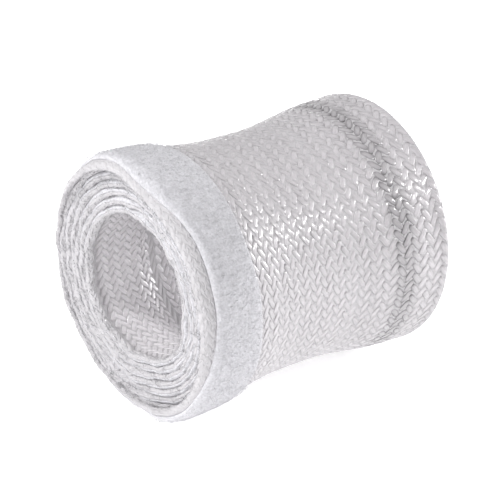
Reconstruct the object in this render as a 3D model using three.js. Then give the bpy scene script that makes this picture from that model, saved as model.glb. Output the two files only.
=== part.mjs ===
// A braided cable sleeve with hook-and-loop tapes along its two long edges, wound up into a roll.
// The roll lies on its side: +X runs along its axis, away from the loop tape's end, and +Z is up.
// The origin is on the floor, under the middle of the roll. All sizes are in millimetres.
import * as THREE from "three";

// The sleeve as it is cut, laid flat
const sleeveWidth = 85; // across the sleeve, so along the roll
const fabricThickness = 0.85; // one layer of flattened braid
const selvageWidth = 2.5; // braid that runs on past each tape
const selvageThickness = 1.9; // the braid is doubled at its edge
const tapeWidth = 16;
const tapeThickness = 1.65; // backing and pile, pressed by the winding

// The roll
const boreRadius = 22.2; // open middle, where the tapes make the wall thick
const turnCount = 7;
const turnSlack = 0.1; // air left between two turns at the tapes
const waistDrop = 4.2; // how far the roll narrows between the tapes, where its wall is braid alone
const waistShift = 3.5; // from the middle of the sleeve's width to the middle of the waist
const waistLength = 8;
const nearBand = 11; // straight band at the loop tape's end
const farBand = 6; // straight band at the hook tape's end
const boreStep = 8; // length over which the bore widens behind the loop tape
const lipDrop = 0.6; // how far the outer turn's edge curls in
const lipReach = 2.3; // how far that edge stands out past the other turns, at the loop tape's end
const endSlant = 2.2; // how far the turns have slipped along the roll, at the front and back of each end
const tapeCorner = 1.1; // rounding of the loop tape's outer corners
const seatGap = 0.3; // between a tape and the braid that it is sewn to
const sideGap = 0.3; // between a tape and the selvage beside it

// How finely the curves are drawn
const facets = 48; // an even number, so that a flat facet meets the floor
const flareSteps = 6;
const cornerSteps = 3;

const turnPitch = fabricThickness + tapeThickness + turnSlack;
const rollRadius = boreRadius + turnCount * turnPitch;
const selvageRise = (selvageThickness - fabricThickness) / 2; // how far the selvage stands proud
const nearBraidRadius = rollRadius - tapeThickness; // the loop tape lies on top of the braid here
const nearEdgeRadius = nearBraidRadius + selvageRise;
const farBoreRadius = boreRadius + tapeThickness; // the hook tape lies inside the braid here
const farBraidRadius = rollRadius - selvageRise;
const tapeStart = selvageWidth + sideGap;
const tapeEnd = tapeStart + tapeWidth;
const waistRadius = rollRadius - waistDrop;
const waistCentre = sleeveWidth / 2 + waistShift; // from the loop tape's end
const waistStart = waistCentre - waistLength / 2;
const waistEnd = waistCentre + waistLength / 2;
const axisHeight = rollRadius * Math.cos(Math.PI / facets); // a facet lies on the floor, not a corner

// 0 before from, 1 after to, and a smooth curve between them
function ease(x, from, to) {
  const share = Math.min(1, Math.max(0, (x - from) / (to - from)));
  return (1 - Math.cos(Math.PI * share)) / 2;
}

// Outside of the wound braid, at a distance from the loop tape's end
function braidRadiusAt(x) {
  if (x < waistCentre)
    return THREE.MathUtils.lerp(nearBraidRadius, waistRadius, ease(x, nearBand, waistStart));
  return THREE.MathUtils.lerp(waistRadius, farBraidRadius, ease(x, waistEnd, sleeveWidth - farBand));
}

// Evenly spaced places from one distance to another, both included
function stations(from, to, steps) {
  return Array.from({ length: steps + 1 }, (_, i) => from + ((to - from) * i) / steps);
}

// A quarter of an ellipse from (x0, r0) to (x1, r1). It leaves along the radius and arrives along the axis.
function quarter(x0, r0, x1, r1) {
  return stations(0, Math.PI / 2, cornerSteps).map(
    (a) => new THREE.Vector2(r0 + (r1 - r0) * Math.sin(a), x0 + (x1 - x0) * (1 - Math.cos(a))),
  );
}

// The edges of the turns at one end of the roll, from the bore outwards: a flat land for each
// turn, with a gap between it and the next that is as deep as the selvage is wide. The outermost
// turn's edge is at endAt, and the others are set back from it.
function turnEdges(endAt, inwards, setBack, innerRadius, outerRadius) {
  const firstMiddle = innerRadius + fabricThickness / 2;
  const lastMiddle = outerRadius - fabricThickness / 2;
  const pitch = (lastMiddle - firstMiddle) / (turnCount - 1);
  const points = [];
  for (let turn = 0; turn < turnCount; turn += 1) {
    const middle = firstMiddle + turn * pitch;
    const outermost = turn === turnCount - 1;
    const inner = turn === 0 ? innerRadius : middle - selvageThickness / 2;
    const outer = middle + selvageThickness / 2 - (outermost ? lipDrop : 0);
    const edgeAt = endAt + inwards * (outermost ? 0 : setBack);
    points.push(new THREE.Vector2(inner, edgeAt), new THREE.Vector2(outer, edgeAt));
    if (!outermost)
      points.push(new THREE.Vector2(middle + pitch / 2, edgeAt + inwards * selvageWidth));
  }
  return points;
}

// The turns have slipped a little along the roll, so its two ends slant: both are pushed along +X
// at the front and along -X at the back, and the middle of the roll stays where it is.
function slantEnds(geometry) {
  const places = geometry.getAttribute("position");
  for (let i = 0; i < places.count; i += 1) {
    const along = places.getY(i);
    const fromEnd = Math.min(along, sleeveWidth - along);
    const share = 1 - fromEnd / (sleeveWidth / 2);
    places.setY(i, along + (endSlant * share * places.getX(i)) / rollRadius);
  }
  geometry.computeVertexNormals();
}

// Turns a closed outline of (radius, distance along the roll) about the roll's axis
function turned(outline, name, colour, roughness) {
  const halfFacet = Math.PI / facets;
  const closed = [...outline, outline[0].clone()];
  const geometry = new THREE.LatheGeometry(closed, facets, halfFacet, 2 * Math.PI);
  slantEnds(geometry);
  const material = new THREE.MeshStandardMaterial({ color: colour, roughness, metalness: 0 });
  const mesh = new THREE.Mesh(geometry, material);
  mesh.name = name;
  mesh.rotation.z = -Math.PI / 2; // the lathe's upright axis comes to lie along +X
  mesh.position.set(-sleeveWidth / 2, 0, axisHeight);
  return mesh;
}

// The braid, wound up: waisted outside, with the edges of its turns at both ends
function braidedSleeve() {
  const onBraid = (x) => new THREE.Vector2(braidRadiusAt(x), x);
  const farEdge = sleeveWidth - selvageWidth;
  const nearEdges = turnEdges(0, 1, lipReach, boreRadius, nearBraidRadius);
  const nearLip = quarter(0, nearEdgeRadius - lipDrop, selvageWidth, nearEdgeRadius).slice(1);
  const nearFlare = stations(nearBand, waistStart, flareSteps).map(onBraid);
  const farFlare = stations(waistEnd, sleeveWidth - farBand, flareSteps).map(onBraid);
  const farLip = quarter(sleeveWidth, rollRadius - lipDrop, farEdge, rollRadius).slice(1).reverse();
  const farEdges = turnEdges(sleeveWidth, -1, 0, farBoreRadius, farBraidRadius).reverse();
  const bore = stations(tapeEnd + boreStep, tapeEnd, cornerSteps).map((x) => {
    const widened = ease(x, tapeEnd, tapeEnd + boreStep);
    return new THREE.Vector2(THREE.MathUtils.lerp(boreRadius, farBoreRadius, widened), x);
  });
  const outline = [
    ...nearEdges,
    ...nearLip,
    onBraid(selvageWidth), // under the loop tape's edge
    ...nearFlare,
    ...farFlare,
    onBraid(farEdge - selvageRise), // where the selvage starts to rise
    ...farLip,
    ...farEdges,
    ...bore,
  ];
  return turned(outline, "braided_sleeve", 0xdfdde1, 0.55);
}

// The loop tape, on the outside of the last turn
function loopTape() {
  const seat = (x) => new THREE.Vector2(braidRadiusAt(x) + seatGap, x);
  const face = (x) => new THREE.Vector2(braidRadiusAt(x) + tapeThickness, x);
  const flare = stations(nearBand, tapeEnd - tapeCorner, cornerSteps);
  const nearFace = face(tapeStart).x;
  const farFace = face(tapeEnd - tapeCorner).x;
  const outline = [
    seat(tapeStart),
    ...quarter(tapeStart, nearFace - tapeCorner, tapeStart + tapeCorner, nearFace),
    ...flare.map(face),
    new THREE.Vector2(farFace - tapeCorner, tapeEnd),
    seat(tapeEnd),
    ...flare.map(seat).reverse(),
  ];
  return turned(outline, "loop_tape", 0xdad9df, 0.95);
}

// The hook tape, on the inside of the first turn at the other end
function hookTape() {
  const end = sleeveWidth - selvageWidth - sideGap;
  const start = end - tapeWidth;
  const seatRadius = farBoreRadius - seatGap;
  const outline = [
    new THREE.Vector2(boreRadius, start),
    new THREE.Vector2(boreRadius, end),
    new THREE.Vector2(seatRadius, end),
    new THREE.Vector2(seatRadius, start),
  ].reverse();
  return turned(outline, "hook_tape", 0xe0dfe3, 0.6);
}

const roll = new THREE.Group();
roll.add(braidedSleeve(), loopTape(), hookTape());

export default roll;
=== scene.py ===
import math

import bmesh
import bpy
import numpy as np
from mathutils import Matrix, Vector


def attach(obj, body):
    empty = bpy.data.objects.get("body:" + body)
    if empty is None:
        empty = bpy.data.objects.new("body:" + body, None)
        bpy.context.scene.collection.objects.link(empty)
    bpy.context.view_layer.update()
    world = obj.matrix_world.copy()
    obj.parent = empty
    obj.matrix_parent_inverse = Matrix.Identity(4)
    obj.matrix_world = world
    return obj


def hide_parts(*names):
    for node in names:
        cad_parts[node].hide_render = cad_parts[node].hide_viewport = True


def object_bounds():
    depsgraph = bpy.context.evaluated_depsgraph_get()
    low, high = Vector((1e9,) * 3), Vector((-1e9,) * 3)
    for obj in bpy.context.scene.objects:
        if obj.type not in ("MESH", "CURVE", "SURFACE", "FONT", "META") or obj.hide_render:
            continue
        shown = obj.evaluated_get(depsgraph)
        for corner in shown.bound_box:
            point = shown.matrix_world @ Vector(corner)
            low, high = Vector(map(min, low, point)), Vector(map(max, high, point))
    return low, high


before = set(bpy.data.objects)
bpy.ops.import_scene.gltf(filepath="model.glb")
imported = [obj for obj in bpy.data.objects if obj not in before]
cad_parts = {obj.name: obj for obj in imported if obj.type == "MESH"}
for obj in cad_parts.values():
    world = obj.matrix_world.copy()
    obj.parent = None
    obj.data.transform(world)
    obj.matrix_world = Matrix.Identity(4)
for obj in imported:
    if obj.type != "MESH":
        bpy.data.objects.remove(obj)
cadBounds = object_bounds()
lowest, highest = cadBounds
mm = 0.001
rollLength = 85 * mm  # along its axis, before its ends slant
tapeWidth = 16 * mm
axisHeight = (highest[2] - lowest[2]) / 2
floorGap = 0.02 * mm  # between the lowest turn and the floor


# Camera

cameraView = {
    "azimuth": -34.34,
    "elevation": 27.65,
    "distance": 0.485,
    "lens": 114.9,
    "sensorWidth": 36,
    "shiftX": -0.0005,
    "shiftY": 0.0042,
    "nearest": 0.01,
}


def makeCamera(view):
    azimuth = math.radians(view["azimuth"])
    elevation = math.radians(view["elevation"])
    back = Vector((
        math.sin(azimuth) * math.cos(elevation),
        -math.cos(azimuth) * math.cos(elevation),
        math.sin(elevation),
    ))
    data = bpy.data.cameras.new("camera")
    data.lens = view["lens"]
    data.sensor_width = view["sensorWidth"]
    data.shift_x = view["shiftX"]
    data.shift_y = view["shiftY"]
    data.clip_start = view["nearest"]
    camera = bpy.data.objects.new("camera", data)
    camera.location = Vector((0, 0, axisHeight)) + back * view["distance"]
    camera.rotation_euler = (-back).to_track_quat("-Z", "Y").to_euler()
    bpy.context.scene.collection.objects.link(camera)
    bpy.context.scene.camera = camera


makeCamera(cameraView)
print("camera placed")


# How the sleeve is wound

sleeve = {
    "width": rollLength + 1.6 * mm,  # along the cloth, which curls in at the near end
    "flatWidth": 85 * mm,
    "flatLength": 1.5,
    "turns": 7.40,
    "innerEnd": 37,  # where the free inner end lies, in degrees
    "cloth": 0.8 * mm,
    "nearRadius": 39.35 * mm,  # outside of the braid, under the loop tape
    "waistRadius": 36.3 * mm,
    "farRadius": 39.6 * mm,
    "nearBand": 9 * mm,
    "waist": (42 * mm, 48 * mm),
    "farBand": 80 * mm,
    "climb": (0.30, 0.40),  # shares of a turn, between which it steps up on the one before
    "nearCurve": 1.5,  # how late it flares towards the loop tape
    "nearPart": 45 * mm,  # width of cloth that slips and slants with the near end
    "farPart": 40 * mm,  # and with the far end
    "tuck": (0.7, 0.1),  # how far the free inner end leans on the next turn, and over which turns
    "endThickness": 0.25,  # of the two free ends, as a share
    "endTapers": (0.045, 0.008),  # shares of a turn over which they thin
    "measuringSteps": 1500,
}

# Radius of the first turn round the near end, as (degrees, metres)
bore = {
    "near": [(0, 23.9 * mm), (20, 22.8 * mm), (40, 21.3 * mm), (60, 21.0 * mm), (90, 20.9 * mm),
             (135, 20.95 * mm), (180, 21.05 * mm), (225, 21.3 * mm), (262, 21.85 * mm),
             (300, 22.6 * mm), (340, 23.7 * mm)],
    "middle": 24.5 * mm,
    "far": 23.9 * mm,
    "widens": (15 * mm, 26 * mm),
    "narrows": (52 * mm, 68 * mm),
}

rim = {
    "bend": (1.6 * mm, 1.4 * mm),  # radius of the curl, and how much of the cloth is in it
    "lipBend": (2.6 * mm, 4.4 * mm),  # the last turn curls in over the others
    "softBend": (1.2 * mm, 2.2 * mm),  # and most of all over the top
    "softSpot": (74, 20),  # degrees, with its spread
    "recess": 2.5 * mm,  # the inner turns sit back behind the lip
    "recessCurve": 6,
    "flushSpot": (200, 55),  # but for here
    "flushShare": 0.85,
    "slantFront": 2.46 * mm,
    "slantTop": 0.5 * mm,
    "farSlantFront": 1.92 * mm,
    "farSlantTop": 0.97 * mm,
    "beadWidth": 3.2 * mm,
    "beadShare": 1.05,  # how much of the room between turns the selvages fill
    "gapShare": 0.42,  # and how much less in the gaps
    "gaps": [(114, 24), (308, 30)],  # where the turns stand apart, with their spread
    "corner": (0.35, 1.0),  # rounding of a selvage, as a share of the bead: elsewhere, in the gaps
    "waver": (0.55 * mm, 0.16 * mm),  # how unevenly the edges run, along the roll and across it
    "waverWidth": 5 * mm,
    "lipSteadiness": 0.6,  # the lip wavers less, by this share
    "swingsAlong": [(0.5, 5.3, 1.1), (0.4, 11.7, 2.3), (0.35, 23.1, 0.7)],
    "swingsAcross": [(0.7, 17.3, 0.4), (0.6, 31.9, 1.9)],
}

turnCount = 7  # whole turns


def ease(x, start, end):
    share = np.clip((x - start) / (end - start), 0, 1)
    return (1 - np.cos(np.pi * share)) / 2


def windingAngle(turn):
    return np.radians(sleeve["innerEnd"] - 360 * turn)


def hump(angle, spot):
    away = (np.degrees(angle) - spot[0] + 180) % 360 - 180
    return np.exp(-((away / spot[1]) ** 2))


def roundTable(angle, table):
    # A value that changes round the roll, eased between the table's angles
    spots = [degrees for degrees, value in table]
    values = [value for degrees, value in table]
    total = 0
    for step in (-8, -4, 0, 4, 8):
        total = total + np.interp(np.degrees(angle) + step, spots, values, period=360)
    return total / 5


def gapOpening(angle):
    return np.clip(sum(hump(angle, spot) for spot in rim["gaps"]), 0, 1)


def waver(turn, swings):
    # Each swing is its size, its rate in waves per turn, and where it starts
    return sum(size * np.sin(2 * np.pi * rate * turn + shift) for size, rate, shift in swings)


def windCloth(turn, across):
    # Where the middle of the cloth lies: distance from the near end, radius, and room per turn
    angle = windingAngle(turn)
    share = turn - np.floor(turn)
    level = np.minimum(np.floor(turn) + ease(share, *sleeve["climb"]), turnCount)
    apart = 1 - rim["flushShare"] * hump(angle, rim["flushSpot"])
    lip = ease(level, turnCount - 0.9, turnCount - 0.1) * apart
    soft = hump(angle, rim["softSpot"]) * lip
    bendRadius, bendArc = (
        plain + lip * (curled - plain) + soft * more
        for plain, curled, more in zip(rim["bend"], rim["lipBend"], rim["softBend"])
    )
    bent = np.clip(bendArc - across, 0, None) / bendRadius
    along = np.where(across < bendArc, bendArc - bendRadius * np.sin(bent), across)
    drop = bendRadius * (1 - np.cos(bent))
    tip = bendArc - bendRadius * np.sin(np.clip(bendArc / bendRadius, 0, np.pi / 2))

    near = np.clip(1 - across / sleeve["nearPart"], 0, 1)
    far = np.clip((across - sleeve["nearPart"]) / sleeve["farPart"], 0, 1)
    slip = sleeve["width"] - rollLength
    recess = apart * rim["recess"]
    x = along - slip + near * (slip - tip + recess * (1 - (level / turnCount) ** rim["recessCurve"]))
    free = np.exp(-((across / rim["waverWidth"]) ** 2)) * (1 - rim["lipSteadiness"] * lip)
    x = x + free * rim["waver"][0] * waver(turn, rim["swingsAlong"])

    nearFlare = ease(x, sleeve["waist"][0], sleeve["nearBand"]) ** sleeve["nearCurve"]
    nearRise = (sleeve["nearRadius"] - sleeve["waistRadius"]) * nearFlare
    farFlare = ease(x, sleeve["waist"][1], sleeve["farBand"])
    farRise = (sleeve["farRadius"] - sleeve["waistRadius"]) * farFlare
    last = sleeve["waistRadius"] + nearRise + farRise - sleeve["cloth"] / 2
    first = roundTable(angle, bore["near"])
    first = first + (bore["middle"] - first) * ease(x, *bore["widens"])
    first = first + (bore["far"] - bore["middle"]) * ease(x, *bore["narrows"])
    room = (last - first) / turnCount
    tuck = sleeve["tuck"][0] * room * (1 - ease(turn, 0, sleeve["tuck"][1]))
    radius = first + room * level + tuck - drop
    radius = radius + free * rim["waver"][1] * waver(turn, rim["swingsAcross"])

    reach = radius / sleeve["nearRadius"]
    slantX = near * (rim["slantFront"] * np.cos(angle) + rim["slantTop"] * np.sin(angle))
    slantX = slantX + far * (rim["farSlantFront"] * np.cos(angle) + rim["farSlantTop"] * np.sin(angle))
    return x + reach * slantX, radius, room


def clothMiddle(turn, across):
    x, radius, room = windCloth(turn, across)
    angle = windingAngle(turn)
    return np.stack([
        x - rollLength / 2,
        -radius * np.cos(angle),
        axisHeight + radius * np.sin(angle),
    ], -1)


def halfThickness(turn, across):
    # Plain in the middle, with a bead along both selvages that fills the room between the turns,
    # but for the gaps
    room = windCloth(turn, across)[2]
    opening = gapOpening(windingAngle(turn))
    bead = room / 2 * (rim["beadShare"] - rim["gapShare"] * opening)
    corner = bead * (rim["corner"][0] + (rim["corner"][1] - rim["corner"][0]) * opening)
    plain = sleeve["cloth"] / 2
    edge = np.minimum(across, sleeve["width"] - across)
    rounded = bead * np.sqrt(np.clip(1 - (1 - np.clip(edge / corner, 0, 1)) ** 2, 0, 1))
    body = plain + (bead - plain) * ease(edge, rim["beadWidth"], corner)
    innerEnd, outerEnd = sleeve["endTapers"]
    thinning = ease(turn, 0, innerEnd) * ease(sleeve["turns"] - turn, 0, outerEnd)
    taper = sleeve["endThickness"] + (1 - sleeve["endThickness"]) * thinning
    return np.where(edge < corner, rounded, body) * taper


def clothNormal(turn, across):
    stepTurn = 0.002
    stepAcross = 0.05 * mm
    alongTurn = clothMiddle(turn + stepTurn, across) - clothMiddle(turn - stepTurn, across)
    alongWidth = clothMiddle(turn, across + stepAcross) - clothMiddle(turn, across - stepAcross)
    normal = np.cross(alongTurn, alongWidth)
    return normal / np.linalg.norm(normal, axis=-1, keepdims=True)


def clothSurface(turn, across, lift):
    # lift is measured from the middle of the cloth, outwards
    turn, across, lift = np.broadcast_arrays(turn, across, lift)
    point = clothMiddle(turn, across) + clothNormal(turn, across) * lift[..., None]
    point[..., 2] = np.maximum(point[..., 2], floorGap)  # the floor presses the lowest turn flat
    return point


def turnLength(turn):
    # Length wound up to this turn, along the middle of the sleeve
    steps = np.linspace(0, sleeve["turns"], sleeve["measuringSteps"])
    points = clothMiddle(steps, np.full_like(steps, sleeve["nearPart"]))
    walked = np.concatenate([[0], np.cumsum(np.linalg.norm(np.diff(points, axis=0), axis=1))])
    return np.interp(turn, steps, walked)


# Mesh helpers

def makeObject(name, mesh):
    piece = bpy.data.objects.new(name, mesh)
    bpy.context.scene.collection.objects.link(piece)
    return piece


def gridMesh(name, points, closedAcross, uv=None):
    # points is (stations, across, 3); a closed band is capped at both ends
    stations, width = points.shape[:2]
    vertices = [tuple(p) for p in points.reshape(-1, 3)]
    faces = []
    for i in range(stations - 1):
        for j in range(width if closedAcross else width - 1):
            k = (j + 1) % width
            faces.append((i * width + j, i * width + k, (i + 1) * width + k, (i + 1) * width + j))
    if closedAcross:
        for row in (0, stations - 1):
            for j in range(width // 2 - 1):
                first, last = row * width + j, (row + 1) * width - 1 - j
                cap = (first, first + 1, last - 1, last)
                faces.append(cap if row == 0 else cap[::-1])
    mesh = bpy.data.meshes.new(name)
    mesh.from_pydata(vertices, [], faces)
    if uv is not None:
        layer = mesh.uv_layers.new(name="flat")
        loopVertices = np.empty(len(mesh.loops), dtype=np.int32)
        mesh.loops.foreach_get("vertex_index", loopVertices)
        layer.data.foreach_set("uv", uv.reshape(-1, 2)[loopVertices].ravel())
    mesh.update()
    return mesh


def faceOutwards(mesh):
    shape = bmesh.new()
    shape.from_mesh(mesh)
    bmesh.ops.remove_doubles(shape, verts=shape.verts, dist=1e-7)
    bmesh.ops.recalc_face_normals(shape, faces=shape.faces)
    shape.to_mesh(mesh)
    shape.free()
    mesh.polygons.foreach_set("use_smooth", [True] * len(mesh.polygons))
    mesh.update()


def makePlain(piece):
    # Puts the result of the piece's modifiers in their place
    bpy.context.view_layer.update()
    graph = bpy.context.evaluated_depsgraph_get()
    result = piece.evaluated_get(graph)
    mesh = bpy.data.meshes.new_from_object(result, preserve_all_data_layers=True, depsgraph=graph)
    mesh.name = piece.name
    piece.modifiers.clear()
    piece.data = mesh


# Node helpers

def addNode(tree, kind, values=None, **settings):
    node = tree.nodes.new(kind)
    for key, value in settings.items():
        setattr(node, key, value)
    for key, value in (values or {}).items():
        socket = node.inputs[key]
        if isinstance(value, bpy.types.NodeSocket):
            tree.links.new(value, socket)
        else:
            socket.default_value = value
    return node


def calculate(tree, operation, *values):
    node = tree.nodes.new("ShaderNodeMath")
    node.operation = operation
    for i, value in enumerate(values):
        if isinstance(value, bpy.types.NodeSocket):
            tree.links.new(value, node.inputs[i])
        else:
            node.inputs[i].default_value = value
    return node.outputs[0]


def split(tree, vector):
    return addNode(tree, "ShaderNodeSeparateXYZ", {"Vector": vector}).outputs


def join(tree, x, y, z=0.0):
    return addNode(tree, "ShaderNodeCombineXYZ", {"X": x, "Y": y, "Z": z}).outputs[0]


def combine(tree, operation, first, second):
    key = "Scale" if operation == "SCALE" else 1  # by which a vector is scaled
    return addNode(tree, "ShaderNodeVectorMath", {0: first, key: second}, operation=operation).outputs[0]


def mapRange(tree, value, source, target, **settings):
    return addNode(tree, "ShaderNodeMapRange", {
        "Value": value,
        "From Min": source[0],
        "From Max": source[1],
        "To Min": target[0],
        "To Max": target[1],
    }, **settings).outputs["Result"]


def makeNoise(tree, place, scale, detail, roughness=0.5):
    return addNode(tree, "ShaderNodeTexNoise", {
        "Vector": place,
        "Scale": scale,
        "Detail": detail,
        "Roughness": roughness,
    }).outputs["Fac"]


def newTree(kind, name, inputs, outputs):
    # Each input and output is its label and its kind of socket
    tree = bpy.data.node_groups.new(name, kind)
    for way, sockets in (("INPUT", inputs), ("OUTPUT", outputs)):
        for label, socketKind in sockets:
            tree.interface.new_socket(label, in_out=way, socket_type="NodeSocket" + socketKind)
    start = tree.nodes.new("NodeGroupInput")
    end = tree.nodes.new("NodeGroupOutput")
    return tree, start.outputs, end.inputs


# Materials

weave = {"column": 2.05 * mm, "float": 3.45 * mm}
noiseRange = (0.3, 0.7)  # where most of a noise's values lie
fineShare = 0.7  # of the fine noise in the tint, beside the patches


def makeFibreGroup():
    # Fine unevenness of cloth: a tint that wanders, and a height for bump
    group, given, result = newTree("ShaderNodeTree", "fibreGrain", [
        ("Scale", "Float"),
        ("Patch Scale", "Float"),
        ("Tint Low", "Float"),
        ("Tint High", "Float"),
    ], [("Tint", "Float"), ("Height", "Float")])
    place = addNode(group, "ShaderNodeTexCoord").outputs["Object"]
    fine = makeNoise(group, place, given["Scale"], 3.0, 0.6)
    patches = makeNoise(group, place, given["Patch Scale"], 2.0)
    coarse = calculate(group, "MULTIPLY", patches, 1 - fineShare)
    mixed = calculate(group, "MULTIPLY_ADD", fine, fineShare, coarse)
    tint = mapRange(group, mixed, noiseRange, (given["Tint Low"], given["Tint High"]))
    group.links.new(tint, result["Tint"])
    group.links.new(fine, result["Height"])
    return group


def makeHerringboneGroup():
    # The braid's zigzag as a height, from the cloth's own flat UV (metres)
    group, given, result = newTree("ShaderNodeTree", "herringbone", [], [("Height", "Float")])
    place = split(group, addNode(group, "ShaderNodeUVMap", uv_map="flat").outputs["UV"])
    zigzag = calculate(group, "PINGPONG", place["Y"], weave["column"])
    line = calculate(group, "MULTIPLY_ADD", zigzag, weave["float"] / weave["column"], place["X"])
    phase = calculate(group, "DIVIDE", line, weave["float"])
    wave = calculate(group, "SINE", calculate(group, "MULTIPLY", phase, math.pi))
    group.links.new(calculate(group, "ABSOLUTE", wave), result["Height"])
    return group


fibreGrain = makeFibreGroup()
herringbone = makeHerringboneGroup()


def placeGroup(tree, group, values=None):
    return addNode(tree, "ShaderNodeGroup", values, node_tree=group).outputs


def newMaterial(name):
    material = bpy.data.materials.new(name)
    material.use_nodes = True
    shader = material.node_tree.nodes["Principled BSDF"]
    return material, material.node_tree, shader


def tintedColour(tree, colour, tint):
    mix = addNode(tree, "ShaderNodeMix", {0: 1.0}, data_type="RGBA", blend_type="MULTIPLY")
    mix.inputs[6].default_value = (*colour, 1)
    grey = addNode(tree, "ShaderNodeCombineColor", {"Red": tint, "Green": tint, "Blue": tint})
    tree.links.new(grey.outputs["Color"], mix.inputs[7])
    return mix.outputs[2]


yarnFinish = {
    "name": "polyester yarn",
    "colour": (0.50, 0.479, 0.498),
    "grain": {"Scale": 700.0, "Patch Scale": 90.0, "Tint Low": 0.92, "Tint High": 1.06},
    "roughness": 0.36,
    "coat": 0.5,
    "coatRoughness": 0.1,
    "coatBend": 1.7,
    "edgeShade": 0.8,  # painted shade: how dark the yarn is where it meets its neighbours
    # painted shade at a float's ends, where it dips under its neighbours
    "endShade": 0.72,
    "openShade": 0.3,  # and painted shade where the flaring braid opens, beside the hook tape
    "paintedLeanSheen": -0.07,  # painted sheen: the floats that lean the other way are brighter
    "bump": 0.9,
    "relief": 0.08 * mm,
}

# The bore's yarn is a lighter copy of the face yarn, painted light for the light that reaches into the bore,
# with less painted shade at its edges and ends
innerYarnPaintedLightFinish = {
    **yarnFinish,
    "name": "polyester yarn, inner face",
    "colour": (0.62, 0.600, 0.620),
    "coat": 0.25,
    "edgeShade": 0.95,
    "endShade": 0.9,
}

# The selvage yarn is a slightly darker copy of the face yarn, painted shade that tones down the end light on
# the rim; it has less painted shade at its edges and ends, no painted sheen and no painted shade where the
# braid opens
rimFinish = {
    **yarnFinish,
    "name": "polyester yarn, selvage",
    "colour": (0.48, 0.469, 0.487),
    "roughness": 0.5,
    "coat": 0.15,
    "edgeShade": 0.9,
    "endShade": 0.9,
    "paintedLeanSheen": 0.0,
    "openShade": 1.0,
}

# The cloth under the floats is a little darker than the yarn, painted shade for the recesses between the
# floats
clothFinish = {
    "name": "braided cloth",
    "colour": (0.47, 0.456, 0.472),
    "grain": {"Scale": 1200.0, "Patch Scale": 80.0, "Tint Low": 0.9, "Tint High": 1.04},
    "roughness": 0.6,
    "bump": 0.9,
    "relief": 0.3 * mm,
}

loopFinish = {
    "name": "looped pile",
    "colour": (0.53, 0.524, 0.55),
    "grain": {"Scale": 1500.0, "Patch Scale": 600.0, "Tint Low": 0.72, "Tint High": 1.16},
    "roughness": 0.9,
    "sheen": 0.12,
    "sheenRoughness": 0.4,
    "bump": 0.5,
    "relief": 0.25 * mm,
}

hookFinish = {
    "name": "nylon hooks",
    "colour": (0.76, 0.755, 0.78),
    "grain": {"Scale": 900.0, "Patch Scale": 140.0, "Tint Low": 0.9, "Tint High": 1.04},
    "roughness": 0.35,
    "bump": 0.3,
    "relief": 0.15 * mm,
}

shaderSockets = {
    "roughness": "Roughness",
    "coat": "Coat Weight",
    "coatRoughness": "Coat Roughness",
    "coatBend": "Coat IOR",
    "sheen": "Sheen Weight",
    "sheenRoughness": "Sheen Roughness",
}

# Painted shade where the flaring braid opens, beside the hook tape
openBraidShade = {
    "middle": 29.5 * mm,
    "reach": (3 * mm, 8.5 * mm),  # from the middle: fully open, and closed
    "ragged": 5 * mm,
    "raggedScale": 120.0,
    "depth": 0.35,  # share of the painted shade that the whole of a yarn takes
}

filament = {
    "apart": (310.0, 270.0, 350.0),  # makes them differ from yarn to yarn
    "stretch": 1.3,
    "count": 7.0,
    "scale": 1.6,
    "tint": (0.84, 1.14),
}

shadeCurve = 3.0  # how close to a yarn's sides and ends its painted shade keeps


def makeYarnShadeGroup():
    # Paints shade on a float along its two sides and at its ends, where it meets its neighbours and dips
    # under them, from its own strand UV, paints more shade where the braid opens, and draws fine filaments
    # along it
    group, given, result = newTree("ShaderNodeTree", "yarnShade", [
        ("Edge Shade", "Float"),
        ("End Shade", "Float"),
        ("Open Shade", "Float"),
    ], [("Shade", "Float"), ("Height", "Float")])
    strand = split(group, addNode(group, "ShaderNodeUVMap", uv_map="strand").outputs["UV"])
    place = addNode(group, "ShaderNodeTexCoord").outputs["Object"]
    ragged = makeNoise(group, place, openBraidShade["raggedScale"], 1.0)
    fromMiddle = calculate(group, "ADD", split(group, place)["X"], -openBraidShade["middle"])
    distance = calculate(group, "MULTIPLY_ADD", ragged, openBraidShade["ragged"], calculate(
        group, "ABSOLUTE", fromMiddle))
    closeness = mapRange(group, distance, openBraidShade["reach"], (1.0, 0.0), interpolation_type="SMOOTHSTEP")
    # painted shade where the braid opens: the whole yarn darkens by the depth's share, its sides and ends
    # more
    darkening = calculate(group, "ADD", given["Open Shade"], -1.0)
    shadeWhereOpen = calculate(group, "MULTIPLY_ADD", closeness, darkening, 1.0)
    shade = calculate(group, "MULTIPLY_ADD", closeness, calculate(
        group, "MULTIPLY", darkening, openBraidShade["depth"]), 1.0)
    # painted shade along the yarn's two sides and at its two ends
    for axis, label in (("Y", "Edge Shade"), ("X", "End Shade")):
        fromCentre = calculate(group, "ABSOLUTE", calculate(group, "MULTIPLY_ADD", strand[axis], 2.0, -1.0))
        margin = calculate(group, "POWER", fromCentre, shadeCurve)
        darkest = calculate(group, "MULTIPLY", given[label], shadeWhereOpen)
        shade = calculate(group, "MULTIPLY", shade, mapRange(group, margin, (0.0, 1.0), (1.0, darkest)))
    apart = addNode(group, "ShaderNodeVectorMath", {0: place, 1: filament["apart"]}, operation="DOT_PRODUCT")
    alongYarn = calculate(group, "MULTIPLY", strand["X"], filament["stretch"])
    acrossYarn = calculate(group, "MULTIPLY", strand["Y"], filament["count"])
    thread = join(group, alongYarn, acrossYarn, apart.outputs["Value"])
    threads = makeNoise(group, thread, filament["scale"], 2.0, 0.6)
    streak = mapRange(group, threads, noiseRange, filament["tint"])
    group.links.new(calculate(group, "MULTIPLY", shade, streak), result["Shade"])
    group.links.new(threads, result["Height"])
    return group


yarnShade = makeYarnShadeGroup()


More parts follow.
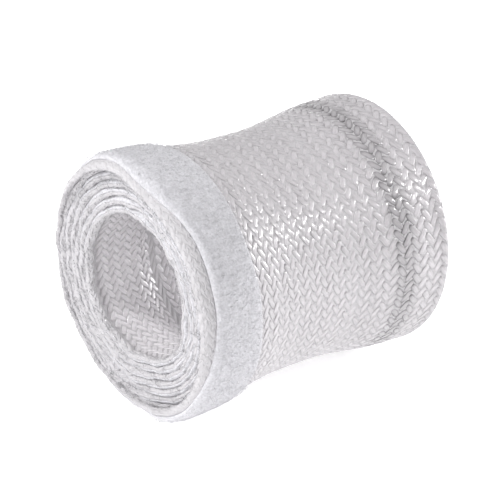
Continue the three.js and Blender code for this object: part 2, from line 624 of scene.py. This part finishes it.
def makeMaterial(finish):
    # Cloth has the herringbone as its relief, and yarn has its filaments, its painted shade and the painted
    # sheen of the floats that lean back
    material, tree, shader = newMaterial(finish["name"])
    grain = placeGroup(tree, fibreGrain, finish["grain"])
    tint, height = grain["Tint"], grain["Height"]
    if finish is clothFinish:
        height = placeGroup(tree, herringbone)["Height"]
    if "edgeShade" in finish:
        strand = placeGroup(tree, yarnShade, {
            "Edge Shade": finish["edgeShade"],
            "End Shade": finish["endShade"],
            "Open Shade": finish["openShade"],
        })
        # painted sheen on the floats that lean back, and the painted shade from yarnShade, both go into the
        # yarn's colour
        leaning = addNode(tree, "ShaderNodeAttribute", attribute_name="leansBack", attribute_type="GEOMETRY")
        lean = calculate(tree, "MULTIPLY_ADD", leaning.outputs["Fac"], -finish["paintedLeanSheen"], 1.0)
        tint = calculate(tree, "MULTIPLY", tint, calculate(tree, "MULTIPLY", strand["Shade"], lean))
        height = strand["Height"]
    bump = addNode(tree, "ShaderNodeBump", {
        "Strength": finish["bump"],
        "Distance": finish["relief"],
        "Height": height,
    })
    tree.links.new(tintedColour(tree, finish["colour"], tint), shader.inputs["Base Color"])
    tree.links.new(bump.outputs["Normal"], shader.inputs["Normal"])
    for key, label in shaderSockets.items():
        if key in finish:
            shader.inputs[label].default_value = finish[key]
    return material


yarnMaterial = makeMaterial(yarnFinish)
innerYarnPaintedLightMaterial = makeMaterial(innerYarnPaintedLightFinish)
rimMaterial = makeMaterial(rimFinish)
clothMaterial = makeMaterial(clothFinish)
loopMaterial = makeMaterial(loopFinish)
hookMaterial = makeMaterial(hookFinish)
print("materials made")


# The braided cloth

# Where the cloth's mesh has its rows, in millimetres from the near edge and from the far one
clothMesh = {
    "stationsPerTurn": 72,
    "across": [0, 0.12, 0.35, 0.7, 1.1, 1.6, 2.2, 2.9, 3.7, 4.6, 5.6, 7, 9.5, 13, 17, 21,
               26, 32, 38, 45, 52, 59, 65, 70, 74, 77.5, 80.5, 82.2],
    "farEdge": [3.2, 2.4, 1.7, 1.1, 0.6, 0.3, 0.1, 0],
}


def acrossStations():
    near = [v * mm for v in clothMesh["across"]]
    far = [sleeve["width"] - v * mm for v in clothMesh["farEdge"]]
    return np.array(near + far)


def makeCloth():
    across = acrossStations()
    count = int(sleeve["turns"] * clothMesh["stationsPerTurn"]) + 1
    turns = np.linspace(0, sleeve["turns"], count)
    turnGrid, acrossGrid = np.meshgrid(turns, across, indexing="ij")
    half = halfThickness(turnGrid, acrossGrid)
    outside = clothSurface(turnGrid, acrossGrid, half)
    inside = clothSurface(turnGrid, acrossGrid, -half)
    length = turnLength(turnGrid)
    uvOutside = np.stack([length, acrossGrid], -1)
    ring = np.concatenate([outside, inside[:, ::-1][:, 1:-1]], axis=1)
    uv = np.concatenate([uvOutside, uvOutside[:, ::-1][:, 1:-1]], axis=1)
    mesh = gridMesh("sleeve_cloth", ring, True, uv)
    faceOutwards(mesh)
    piece = makeObject("sleeve_cloth", mesh)
    mesh.materials.append(clothMaterial)
    return piece


sleeveCloth = makeCloth()
print("cloth wound:", len(sleeveCloth.data.polygons), "faces")
print("length of the cloth:", round(float(turnLength(sleeve["turns"])), 3))


# The braid's yarns

braidYarn = {
    "length": 4.5 * mm,
    "width": 1.74 * mm,
    "thickness": 0.38 * mm,
    "dip": 0.17 * mm,
    "flatness": 0.8,
    "stations": 6,
    "sides": (0, 45, 75, 105, 135, 180, 270),
}

edgeYarn = {
    "length": 2.2 * mm,
    "width": 0.66 * mm,
    "thickness": 0.44 * mm,
    "dip": 0.22 * mm,
    "flatness": 0.8,
    "stations": 4,
    "sides": (0, 60, 120, 180, 270),
}

# How a float narrows and sinks towards its ends
pillow = {"narrowing": 0.35, "narrowCurve": 4, "sinkCurve": 2.6}


def makeYarn(name, shape):
    # One visible float of yarn: a pillow that dips under its neighbours at both ends
    vertices, strandUv = [], []
    for t in np.linspace(-1, 1, shape["stations"]):
        narrow = 1 - pillow["narrowing"] * t ** pillow["narrowCurve"]
        sink = -shape["dip"] * abs(t) ** pillow["sinkCurve"]
        for degrees in shape["sides"]:
            side, rise = math.cos(math.radians(degrees)), math.sin(math.radians(degrees))
            vertices.append((
                t * shape["length"] / 2,
                side * shape["width"] / 2 * narrow,
                math.copysign(abs(rise) ** shape["flatness"], rise) * shape["thickness"] / 2 + sink,
            ))
            strandUv.append((t * 0.5 + 0.5, side * 0.5 + 0.5))
    sides = len(shape["sides"])
    faces = []
    for i in range(shape["stations"] - 1):
        for j in range(sides):
            k = (j + 1) % sides
            faces.append((i * sides + j, (i + 1) * sides + j, (i + 1) * sides + k, i * sides + k))
    faces.append(tuple(range(sides)))
    faces.append(tuple(reversed(range((shape["stations"] - 1) * sides, shape["stations"] * sides))))
    mesh = bpy.data.meshes.new(name)
    mesh.from_pydata(vertices, [], faces)
    layer = mesh.uv_layers.new(name="strand")
    for loop in mesh.loops:
        layer.data[loop.index].uv = strandUv[loop.vertex_index]
    faceOutwards(mesh)
    return makeObject(name, mesh)


# How far a float may stray: its place, in columns and floats, and its turn, and how it rocks
unevenness = {"wobble": (0.05, 0.05, 0.05), "rocking": (0.06, 0.04, 0.0)}
floorPress = {"share": 0.2, "height": 0.14 * mm}  # what the lowest parts keep of their height, and gain


def randomVector(tree, reach, seed):
    return addNode(tree, "FunctionNodeRandomValue", {
        "Min": tuple(-size for size in reach),
        "Max": reach,
        "Seed": seed,
    }, data_type="FLOAT_VECTOR").outputs[0]


def finishTree(tree, pieces, position, material, result):
    # Presses flat what would reach down through the floor, and gives all of it its material
    spot = split(tree, position)
    pressed = calculate(tree, "MULTIPLY_ADD", spot["Z"], floorPress["share"], floorPress["height"])
    kept = addNode(tree, "GeometryNodeSetPosition", {
        "Geometry": pieces.outputs["Geometry"],
        "Position": join(tree, spot["X"], spot["Y"], calculate(tree, "MAXIMUM", spot["Z"], pressed)),
    })
    smooth = addNode(tree, "GeometryNodeSetShadeSmooth", {"Geometry": kept.outputs["Geometry"]})
    dressed = addNode(tree, "GeometryNodeSetMaterial", {
        "Geometry": smooth.outputs["Geometry"],
        "Material": material,
    })
    tree.links.new(dressed.outputs["Geometry"], result["Geometry"])
    return tree


def makeBraidTree():
    # Lays floats in columns on a flat field, then bends them on to a patch that has a flat UV map
    tree, given, result = newTree("GeometryNodeTree", "layBraid", [
        ("Geometry", "Geometry"),
        ("Yarn", "Object"),
        ("Columns", "Int"),
        ("Rows", "Int"),
        ("Column Width", "Float"),
        ("Float Spacing", "Float"),
        ("Start Across", "Float"),
        ("Start Along", "Float"),
        ("Lean", "Float"),
        ("Size", "Float"),
        ("Wander", "Float"),
        ("Seed", "Int"),
        ("Material", "Material"),
    ], [("Geometry", "Geometry")])
    tree.is_modifier = True
    index = addNode(tree, "GeometryNodeInputIndex").outputs[0]
    column = calculate(tree, "FLOOR", calculate(tree, "DIVIDE", index, given["Rows"]))
    row = calculate(tree, "FLOORED_MODULO", index, given["Rows"])
    odd = calculate(tree, "FLOORED_MODULO", column, 2.0)
    wobble = randomVector(tree, unevenness["wobble"], given["Seed"])
    wander = split(tree, combine(tree, "SCALE", wobble, given["Wander"]))
    across = calculate(tree, "ADD", calculate(tree, "ADD", column, 0.5), wander["X"])
    across = calculate(tree, "MULTIPLY_ADD", across, given["Column Width"], given["Start Across"])
    along = calculate(tree, "ADD", calculate(tree, "MULTIPLY", odd, 0.5), wander["Y"])
    along = calculate(tree, "ADD", row, along)
    along = calculate(tree, "MULTIPLY_ADD", along, given["Float Spacing"], given["Start Along"])
    points = addNode(tree, "GeometryNodePoints", {
        "Count": calculate(tree, "MULTIPLY", given["Columns"], given["Rows"]),
        "Position": join(tree, across, along),
    })
    marked = addNode(tree, "GeometryNodeStoreNamedAttribute", {
        "Geometry": points.outputs[0],
        "Name": "leansBack",
        "Value": odd,
    }, data_type="FLOAT", domain="POINT")

    lean = calculate(tree, "MULTIPLY", calculate(tree, "MULTIPLY_ADD", odd, 2.0, -1.0), given["Lean"])
    turn = calculate(tree, "ADD", calculate(tree, "ADD", lean, math.pi / 2), wander["Z"])
    rocking = randomVector(tree, unevenness["rocking"], calculate(tree, "ADD", given["Seed"], 9.0))
    rock = split(tree, rocking)
    rotation = addNode(tree, "FunctionNodeEulerToRotation", {0: join(tree, rock["X"], rock["Y"], turn)})
    yarn = addNode(tree, "GeometryNodeObjectInfo", {"Object": given["Yarn"], "As Instance": True})
    placed = addNode(tree, "GeometryNodeInstanceOnPoints", {
        "Points": marked.outputs[0],
        "Instance": yarn.outputs["Geometry"],
        "Rotation": rotation.outputs[0],
        "Scale": given["Size"],
    })
    real = addNode(tree, "GeometryNodeRealizeInstances", {"Geometry": placed.outputs[0]})

    position = addNode(tree, "GeometryNodeInputPosition").outputs[0]
    normal = addNode(tree, "GeometryNodeInputNormal").outputs[0]
    patchUv = addNode(tree, "GeometryNodeInputNamedAttribute", {"Name": "flat"}, data_type="FLOAT_VECTOR")
    here = split(tree, position)
    foot, away = (
        addNode(tree, "GeometryNodeSampleUVSurface", {
            "Mesh": given["Geometry"],
            "Value": value,
            "Source UV Map": patchUv.outputs["Attribute"],
            "Sample UV": join(tree, here["Y"], here["X"]),
        }, data_type="FLOAT_VECTOR").outputs["Value"]
        for value in (position, normal)
    )
    bent = combine(tree, "ADD", foot, combine(tree, "SCALE", away, here["Z"]))
    return finishTree(tree, real, bent, given["Material"], result)


def giveInputs(modifier, tree, values):
    for item in tree.interface.items_tree:
        if item.item_type == "SOCKET" and item.in_out == "INPUT" and item.name in values:
            modifier[item.identifier] = values[item.name]


braidTree = makeBraidTree()
freeEnds = 0.07  # share of the spacing left at a patch's ends, for floats that wander
stretchFrom = 64 * mm


def patchMesh(name, turns, across, side, sunk=0, stretch=0):
    # One face of part of the cloth, with its flat size as its UV map. Below 0 and above the
    # cloth's width the patch goes on round the selvage, on the other face. Stretch widens the
    # floats towards the far end.
    turnGrid, acrossGrid = np.meshgrid(turns, across, indexing="ij")
    width = sleeve["width"]
    around = (acrossGrid < 0) | (acrossGrid > width)
    spot = np.where(acrossGrid > width, 2 * width - acrossGrid, np.abs(acrossGrid))
    lift = (halfThickness(turnGrid, spot) - sunk) * np.where(around, -side, side)
    points = clothSurface(turnGrid, spot, lift)
    walked = np.concatenate([[0], np.cumsum(np.linalg.norm(np.diff(points, axis=1), axis=2).mean(0))])
    walked += across[0] if across[0] >= 0 else -np.interp(0, across, walked)
    if across[-1] > width:
        walked += width - np.interp(width, across, walked)
    walked = walked - stretch * np.clip(walked - stretchFrom, 0, None)
    uv = np.stack([turnLength(turnGrid), np.broadcast_to(walked, turnGrid.shape)], -1)
    mesh = gridMesh(name, points, False, uv)
    if side > 0:
        mesh.flip_normals()
    return mesh


def layBraid(name, lay, yarn, shape, material):
    stretch = lay.get("stretch", 0)
    piece = makeObject(name, patchMesh(name, lay["turns"], lay["across"], lay["side"], lay["sunk"], stretch))
    start, end = turnLength(np.array([lay["turns"][0], lay["turns"][-1]]))
    wander = lay.get("wander", 1.0)
    margin = shape["length"] / 2 + freeEnds * wander * lay["spacing"]
    rows = int((end - start - 2 * margin) / lay["spacing"])
    modifier = piece.modifiers.new("layBraid", "NODES")
    modifier.node_group = braidTree
    giveInputs(modifier, braidTree, {
        "Yarn": yarn,
        "Columns": lay["columns"],
        "Rows": rows,
        "Column Width": lay["columnWidth"],
        "Float Spacing": lay["spacing"],
        "Start Across": lay["from"],
        "Start Along": float(start + margin),
        "Lean": math.atan2(lay["columnWidth"], lay["spacing"]) * lay.get("leanShare", 1),
        "Size": lay.get("size", 1.0),
        "Wander": wander,
        "Seed": lay["seed"],
        "Material": material,
    })
    makePlain(piece)
    if lay["side"] > 0:
        piece.data.flip_normals()
    print(name, "floats:", rows * lay["columns"], "faces:", len(piece.data.polygons))
    return piece


lastTurn = sleeve["turns"] - 1
farSelvage = np.array([-2.2, -1.5, -1, -0.6, -0.3, -0.1, 0, 0.1, 0.3, 0.6, 1]) * mm
outerBraid = {
    "turns": np.linspace(lastTurn - 0.02, sleeve["turns"], 200),
    "across": np.concatenate([
        np.linspace(16 * mm, sleeve["width"] - 3 * mm, 60),
        sleeve["width"] + farSelvage,
    ]),
    "side": 1,
    "from": 18.6 * mm,
    "columns": 31,
    "columnWidth": weave["column"],
    "spacing": weave["float"],
    "sunk": 0.04 * mm,
    "stretch": 0.17,  # the hook tape holds the far part of the braid wider
    "seed": 3,
}
boreBraid = {
    "turns": np.linspace(0.0, 1.03, 150),
    "across": np.linspace(0.5 * mm, 71 * mm, 72),
    "side": -1,
    "from": 2.4 * mm,
    "columns": 34,
    "columnWidth": 1.87 * mm,
    "spacing": 3.0 * mm,
    "sunk": 0.02 * mm,
    "size": 0.92,
    "seed": 5,
}
edgeSpots = np.array([-3.6, -2.8, -2.2, -1.7, -1.3, -0.9, -0.6, -0.35, -0.15, -0.05, 0,
                      0.05, 0.15, 0.35, 0.6, 0.9, 1.3, 1.7, 2.2, 2.8, 3.6]) * mm
nearRimBraid = {
    "turns": np.linspace(0.0, sleeve["turns"], 700),
    "across": edgeSpots,
    "side": 1,
    "from": -1.75 * mm,
    "columns": 4,
    "columnWidth": 0.85 * mm,
    "spacing": 1.85 * mm,
    "sunk": 0.12 * mm,
    "leanShare": 0.6,
    "wander": 6.0,
    "seed": 7,
}
lipBraid = {
    **nearRimBraid,
    "turns": np.linspace(lastTurn - 0.01, sleeve["turns"], 160),
    "across": np.linspace(0.3 * mm, 7.5 * mm, 30),
    "from": 1.3 * mm,
    "columns": 5,
    "columnWidth": 0.9 * mm,
    "leanShare": 0.8,
    "wander": 4.0,
    "seed": 11,
}
farRimBraid = {
    **nearRimBraid,
    "across": sleeve["width"] + edgeSpots,
    "from": sleeve["width"] - 1.75 * mm,
    "seed": 13,
}
floatYarn = makeYarn("floatYarn", braidYarn)
rimYarn = makeYarn("rimYarn", edgeYarn)
outerYarns = layBraid("outer_braid_yarns", outerBraid, floatYarn, braidYarn, yarnMaterial)
boreYarns = layBraid("bore_braid_yarns", boreBraid, floatYarn, braidYarn, innerYarnPaintedLightMaterial)
nearRimYarns = layBraid("near_rim_yarns", nearRimBraid, rimYarn, edgeYarn, rimMaterial)
lipYarns = layBraid("lip_yarns", lipBraid, rimYarn, edgeYarn, rimMaterial)
farRimYarns = layBraid("far_rim_yarns", farRimBraid, rimYarn, edgeYarn, rimMaterial)
yarnPieces = [outerYarns, boreYarns, nearRimYarns, lipYarns, farRimYarns]
for helper in (floatYarn, rimYarn):
    bpy.data.objects.remove(helper)
print("braid laid")


# The two tapes

loopTape = {
    "start": [(0, 3.9 * mm), (16, 4.8 * mm), (46, 4.6 * mm), (56, 3.6 * mm), (66, 2.6 * mm),
              (78, 2.2 * mm), (92, 2.4 * mm), (120, 3.2 * mm), (240, 3.0 * mm), (300, 2.2 * mm),
              (332, 1.8 * mm), (345, 2.8 * mm)],
    "end": [(0, 20.6 * mm), (20, 20.9 * mm), (30, 20.0 * mm), (50, 20.6 * mm), (72, 21.3 * mm),
            (120, 20.4 * mm), (240, 20.6 * mm), (340, 21.2 * mm)],
    "innerStart": 0.5 * mm,  # of the turns beneath
    "thickness": 1.5 * mm,
    "thinning": 0.65 * mm,  # towards its border in the middle of the sleeve
    "corner": 2.4 * mm,
    "side": 1,
}

hookTape = {
    "start": [(0, 67.0 * mm), (180, 67.0 * mm)],
    "end": [(0, 83.0 * mm), (180, 83.0 * mm)],
    "thickness": 1.3 * mm,
    "thinning": 0.0,
    "corner": 0.5 * mm,
    "side": -1,
}

tapeSeat = 0.03 * mm  # between a tape and its cloth
tapeRoom = 0.08 * mm  # and between it and the next turn
tapeRounding = [(0, 0), (0.06, 0.28), (0.22, 0.55), (0.5, 0.82), (1, 1)]  # of its corners
tapeSwell = (0.1, 0.05)  # turns over which the loop tape's last and the hook tape's first swell
tapeMesh = {"stationsPerTurn": 64, "inset": 0.004}


def onLastTurn(turn):
    return ease(turn, lastTurn - tapeSwell[0], lastTurn)


def tapeHeight(tape, turn, across, share):
    # The turns press the tape thinner, but for the loop tape's last and the hook tape's first
    room = windCloth(turn, across)[2]
    pressed = np.minimum(tape["thickness"], room - sleeve["cloth"] - tapeRoom)
    free = onLastTurn(turn) if tape["side"] > 0 else ease(1 - turn, 0, tapeSwell[1])
    return pressed + (tape["thickness"] - tape["thinning"] * share - pressed) * free


def tapeSurface(tape, turn, share, lift):
    # share runs from 0 to 1 across the tape, and lift from its back to its face
    angle = windingAngle(turn)
    start = roundTable(angle, tape["start"])
    if "innerStart" in tape:
        start = start + (tape["innerStart"] - start) * (1 - onLastTurn(turn))
    across = start + share * (roundTable(angle, tape["end"]) - start)
    height = tapeSeat + lift * tapeHeight(tape, turn, across, share)
    return clothSurface(turn, across, (halfThickness(turn, across) + height) * tape["side"]), across


def makeTape(name, tape, material, turns):
    corner = tape["corner"] / tapeWidth
    rounding = [(corner * share, lift) for share, lift in tapeRounding]
    face = [(share, 1) for share in np.linspace(0.2, 0.8, 7)]
    back = [(share, 0) for share in np.linspace(0.9, 0.1, 9)]
    outline = rounding + face + [(1 - share, lift) for share, lift in reversed(rounding)] + back
    shares = np.array([share for share, lift in outline])
    lifts = np.array([lift for share, lift in outline])
    turnGrid, shareGrid = np.meshgrid(turns, shares, indexing="ij")
    points, across = tapeSurface(tape, turnGrid, shareGrid, np.broadcast_to(lifts, shareGrid.shape))
    uv = np.stack([turnLength(turnGrid), across], -1)
    mesh = gridMesh(name, points, True, uv)
    faceOutwards(mesh)
    mesh.materials.append(material)
    return makeObject(name, mesh)


tapeStations = int(sleeve["turns"] * tapeMesh["stationsPerTurn"])
tapeTurns = np.linspace(tapeMesh["inset"], sleeve["turns"] - tapeMesh["inset"], tapeStations)
loopStrip = makeTape("loop_strip", loopTape, loopMaterial, tapeTurns)
hookStrip = makeTape("hook_strip", hookTape, hookMaterial, tapeTurns)
print("tapes laid")


# The pile on the tapes

strandSides = 3
strandEnds = 0.6  # thickness of a strand's two ends, as a share


def makeStrand(name, path, thickness):
    # A thin bent strand through the points of its path, thinner at both ends
    path = [Vector(p) for p in path]
    vertices, faces = [], []
    for i, p in enumerate(path):
        ahead = (path[min(i + 1, len(path) - 1)] - path[max(i - 1, 0)]).normalized()
        first = ahead.cross(Vector((0, 1, 0))).normalized()
        second = ahead.cross(first)
        size = thickness / 2 * (strandEnds if i in (0, len(path) - 1) else 1)
        for j in range(strandSides):
            turn = 2 * math.pi * j / strandSides
            vertices.append(p + (first * math.cos(turn) + second * math.sin(turn)) * size)
    for i in range(len(path) - 1):
        here, there = i * strandSides, (i + 1) * strandSides
        for j in range(strandSides):
            k = (j + 1) % strandSides
            faces.append((here + j, here + k, there + k, there + j))
    faces.append(tuple(reversed(range(strandSides))))
    faces.append(tuple(range(len(vertices) - strandSides, len(vertices))))
    mesh = bpy.data.meshes.new(name)
    mesh.from_pydata([tuple(v) for v in vertices], [], faces)
    faceOutwards(mesh)
    return makeObject(name, mesh)


def makePileTree():
    # Scatters a small strand over a patch, upright on its face, each turned and tipped its own way
    tree, given, result = newTree("GeometryNodeTree", "growPile", [
        ("Geometry", "Geometry"),
        ("Strand", "Object"),
        ("Density", "Float"),
        ("Smallest", "Float"),
        ("Largest", "Float"),
        ("Tip", "Float"),
        ("Spin", "Float"),
        ("Seed", "Int"),
        ("Material", "Material"),
    ], [("Geometry", "Geometry")])
    tree.is_modifier = True
    spread = addNode(tree, "GeometryNodeDistributePointsOnFaces", {
        "Mesh": given["Geometry"],
        "Density": given["Density"],
        "Seed": given["Seed"],
    }, distribute_method="RANDOM")
    size = addNode(tree, "FunctionNodeRandomValue", {
        2: given["Smallest"],
        3: given["Largest"],
        "Seed": given["Seed"],
    }, data_type="FLOAT")
    tipping = randomVector(tree, (1.0, 1.0, 1.0), calculate(tree, "ADD", given["Seed"], 5.0))
    amount = join(tree, given["Tip"], given["Tip"], given["Spin"])
    own = addNode(tree, "FunctionNodeEulerToRotation", {0: combine(tree, "MULTIPLY", tipping, amount)})
    turned = addNode(tree, "FunctionNodeRotateRotation", {
        "Rotation": spread.outputs["Rotation"],
        "Rotate By": own.outputs[0],
    }, rotation_space="LOCAL")
    strand = addNode(tree, "GeometryNodeObjectInfo", {"Object": given["Strand"], "As Instance": True})
    placed = addNode(tree, "GeometryNodeInstanceOnPoints", {
        "Points": spread.outputs["Points"],
        "Instance": strand.outputs["Geometry"],
        "Rotation": turned.outputs[0],
        "Scale": size.outputs[1],
    })
    real = addNode(tree, "GeometryNodeRealizeInstances", {"Geometry": placed.outputs[0]})
    position = addNode(tree, "GeometryNodeInputPosition").outputs[0]
    return finishTree(tree, real, position, given["Material"], result)


pileTree = makePileTree()


def growPile(name, mesh, pile, strand, material):
    piece = makeObject(name, mesh)
    modifier = piece.modifiers.new("growPile", "NODES")
    modifier.node_group = pileTree
    giveInputs(modifier, pileTree, {
        "Strand": strand,
        "Density": pile["density"],
        "Smallest": pile["sizes"][0],
        "Largest": pile["sizes"][1],
        "Tip": pile["tip"],
        "Spin": pile["spin"],
        "Seed": pile["seed"],
        "Material": material,
    })
    makePlain(piece)
    bpy.data.objects.remove(strand)
    print(name, "faces:", len(piece.data.polygons))
    return piece


def tapeFace(name, tape, turns, shares):
    turnGrid, shareGrid = np.meshgrid(turns, shares, indexing="ij")
    points, across = tapeSurface(tape, turnGrid, shareGrid, np.ones_like(shareGrid))
    mesh = gridMesh(name, points, False)
    if tape["side"] > 0:
        mesh.flip_normals()
    return mesh


loopPile = {
    "density": 1.35e6,  # loops on a square metre
    "height": 0.42 * mm,
    "span": 0.5 * mm,
    "root": 0.06 * mm,  # how deep it stands in the tape
    "thread": 0.085 * mm,
    "sizes": (0.6, 1.35),
    "tip": 0.6,
    "spin": math.pi,
    "seed": 21,
}
hookPile = {
    "density": 0.62e6,
    "height": 0.5 * mm,
    "root": 0.05 * mm,
    "thread": 0.13 * mm,
    "sizes": (0.85, 1.1),
    "tip": 0.12,
    "spin": 0.5,
    "seed": 23,
}


def makeLoop(pile):
    arch = [math.pi * i / 4 for i in range(5)]
    path = [(-math.cos(a) * pile["span"] / 2, 0, math.sin(a) * pile["height"] - pile["root"]) for a in arch]
    return makeStrand("loop", path, pile["thread"])


def makeHook(pile):
    high = pile["height"]
    bend = [(0, 0.6), (0.12 * mm, 0.95), (0.3 * mm, 1), (0.4 * mm, 0.72)]  # reach, share of height
    path = [(0, 0, -pile["root"])] + [(reach, 0, high * share) for reach, share in bend]
    return makeStrand("hook", path, pile["thread"])


loopTurns = np.linspace(lastTurn + 0.02, sleeve["turns"] - 0.01, 150)
loopFace = tapeFace("loop_pile", loopTape, loopTurns, np.linspace(0.01, 0.99, 18))
loopTufts = growPile("loop_pile", loopFace, loopPile, makeLoop(loopPile), loopMaterial)
hookFace = tapeFace("hook_pile", hookTape, np.linspace(0.02, 1.0, 90), np.linspace(0.03, 0.97, 12))
hookTufts = growPile("hook_pile", hookFace, hookPile, makeHook(hookPile), hookMaterial)


# Stray filaments on the near rim

strayFibres = {
    "density": 0.45e6,
    "length": 1.8 * mm,
    "thread": 0.13 * mm,
    "sizes": (0.5, 1.3),
    "tip": 0.3,
    "spin": math.pi,
    "seed": 31,
}


def makeFibre(fibre):
    half = fibre["length"] / 2
    path = [
        (-half, 0, 0.2 * mm),
        (-half * 0.5, 0, 0.5 * mm),
        (0, 0.15 * mm, 0.62 * mm),
        (half * 0.5, 0, 0.5 * mm),
        (half, 0, 0.2 * mm),
    ]
    return makeStrand("fibre", path, fibre["thread"])


rimFace = patchMesh("stray_fibres", np.linspace(0.0, sleeve["turns"], 420), edgeSpots[5:-5], 1)
fibres = growPile("stray_fibres", rimFace, strayFibres, makeFibre(strayFibres), rimMaterial)
print("pile grown")


# Riding, and the cloth and tapes in place of the CAD parts

for piece in [sleeveCloth, loopStrip, hookStrip, loopTufts, hookTufts, fibres] + yarnPieces:
    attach(piece, "root")
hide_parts("braided_sleeve")
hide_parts("loop_tape")
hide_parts("hook_tape")


# Floor and light

floorSettings = {"size": 6.0, "colour": (0.9, 0.9, 0.905), "roughness": 0.9, "gloss": 0.1, "glow": 0.56}


def makeFloor(settings):
    # A white sweep that glows a little itself, so that it stays white under the roll
    mesh = bpy.data.meshes.new("floor")
    half = settings["size"] / 2
    corners = [(-half, -half, 0), (half, -half, 0), (half, half, 0), (-half, half, 0)]
    mesh.from_pydata(corners, [], [(0, 1, 2, 3)])
    floor = makeObject("floor", mesh)
    material, tree, shader = newMaterial("floor paper")
    shader.inputs["Base Color"].default_value = (*settings["colour"], 1)
    shader.inputs["Roughness"].default_value = settings["roughness"]
    shader.inputs["Specular IOR Level"].default_value = settings["gloss"]
    shader.inputs["Emission Color"].default_value = (1, 1, 1, 1)
    shader.inputs["Emission Strength"].default_value = settings["glow"]
    mesh.materials.append(material)


makeFloor(floorSettings)

worldGlow = 0.3
lights = {
    "key light": {"from": (0.53, -0.62, 0.53), "distance": 1.0, "size": 0.12, "power": 2.9},
    "back light": {"from": (-0.53, 0.36, 0.77), "distance": 1.0, "size": 0.15, "power": 8.2},
    "end light": {"from": (-0.96, -0.22, 0.15), "distance": 1.2, "size": 0.7, "power": 9.0},
    "bore light": {"from": (0.93, -0.28, 0.22), "distance": 1.0, "size": 0.35, "power": 7.0},
}


def makeLight(name, settings):
    data = bpy.data.lights.new(name, "AREA")
    data.shape = "DISK"
    data.size = settings["size"]
    data.energy = settings["power"]
    light = bpy.data.objects.new(name, data)
    away = Vector(settings["from"]).normalized()
    light.location = Vector((0, 0, axisHeight)) + away * settings["distance"]
    light.rotation_euler = away.to_track_quat("Z", "Y").to_euler()
    bpy.context.scene.collection.objects.link(light)


world = bpy.data.worlds.new("studio")
bpy.context.scene.world = world
world.use_nodes = True
backdrop = world.node_tree.nodes["Background"]
backdrop.inputs["Color"].default_value = (1, 1, 1, 1)
backdrop.inputs["Strength"].default_value = worldGlow
for name, settings in lights.items():
    makeLight(name, settings)
bpy.context.scene.view_settings.view_transform = "Standard"
print("stage lit")
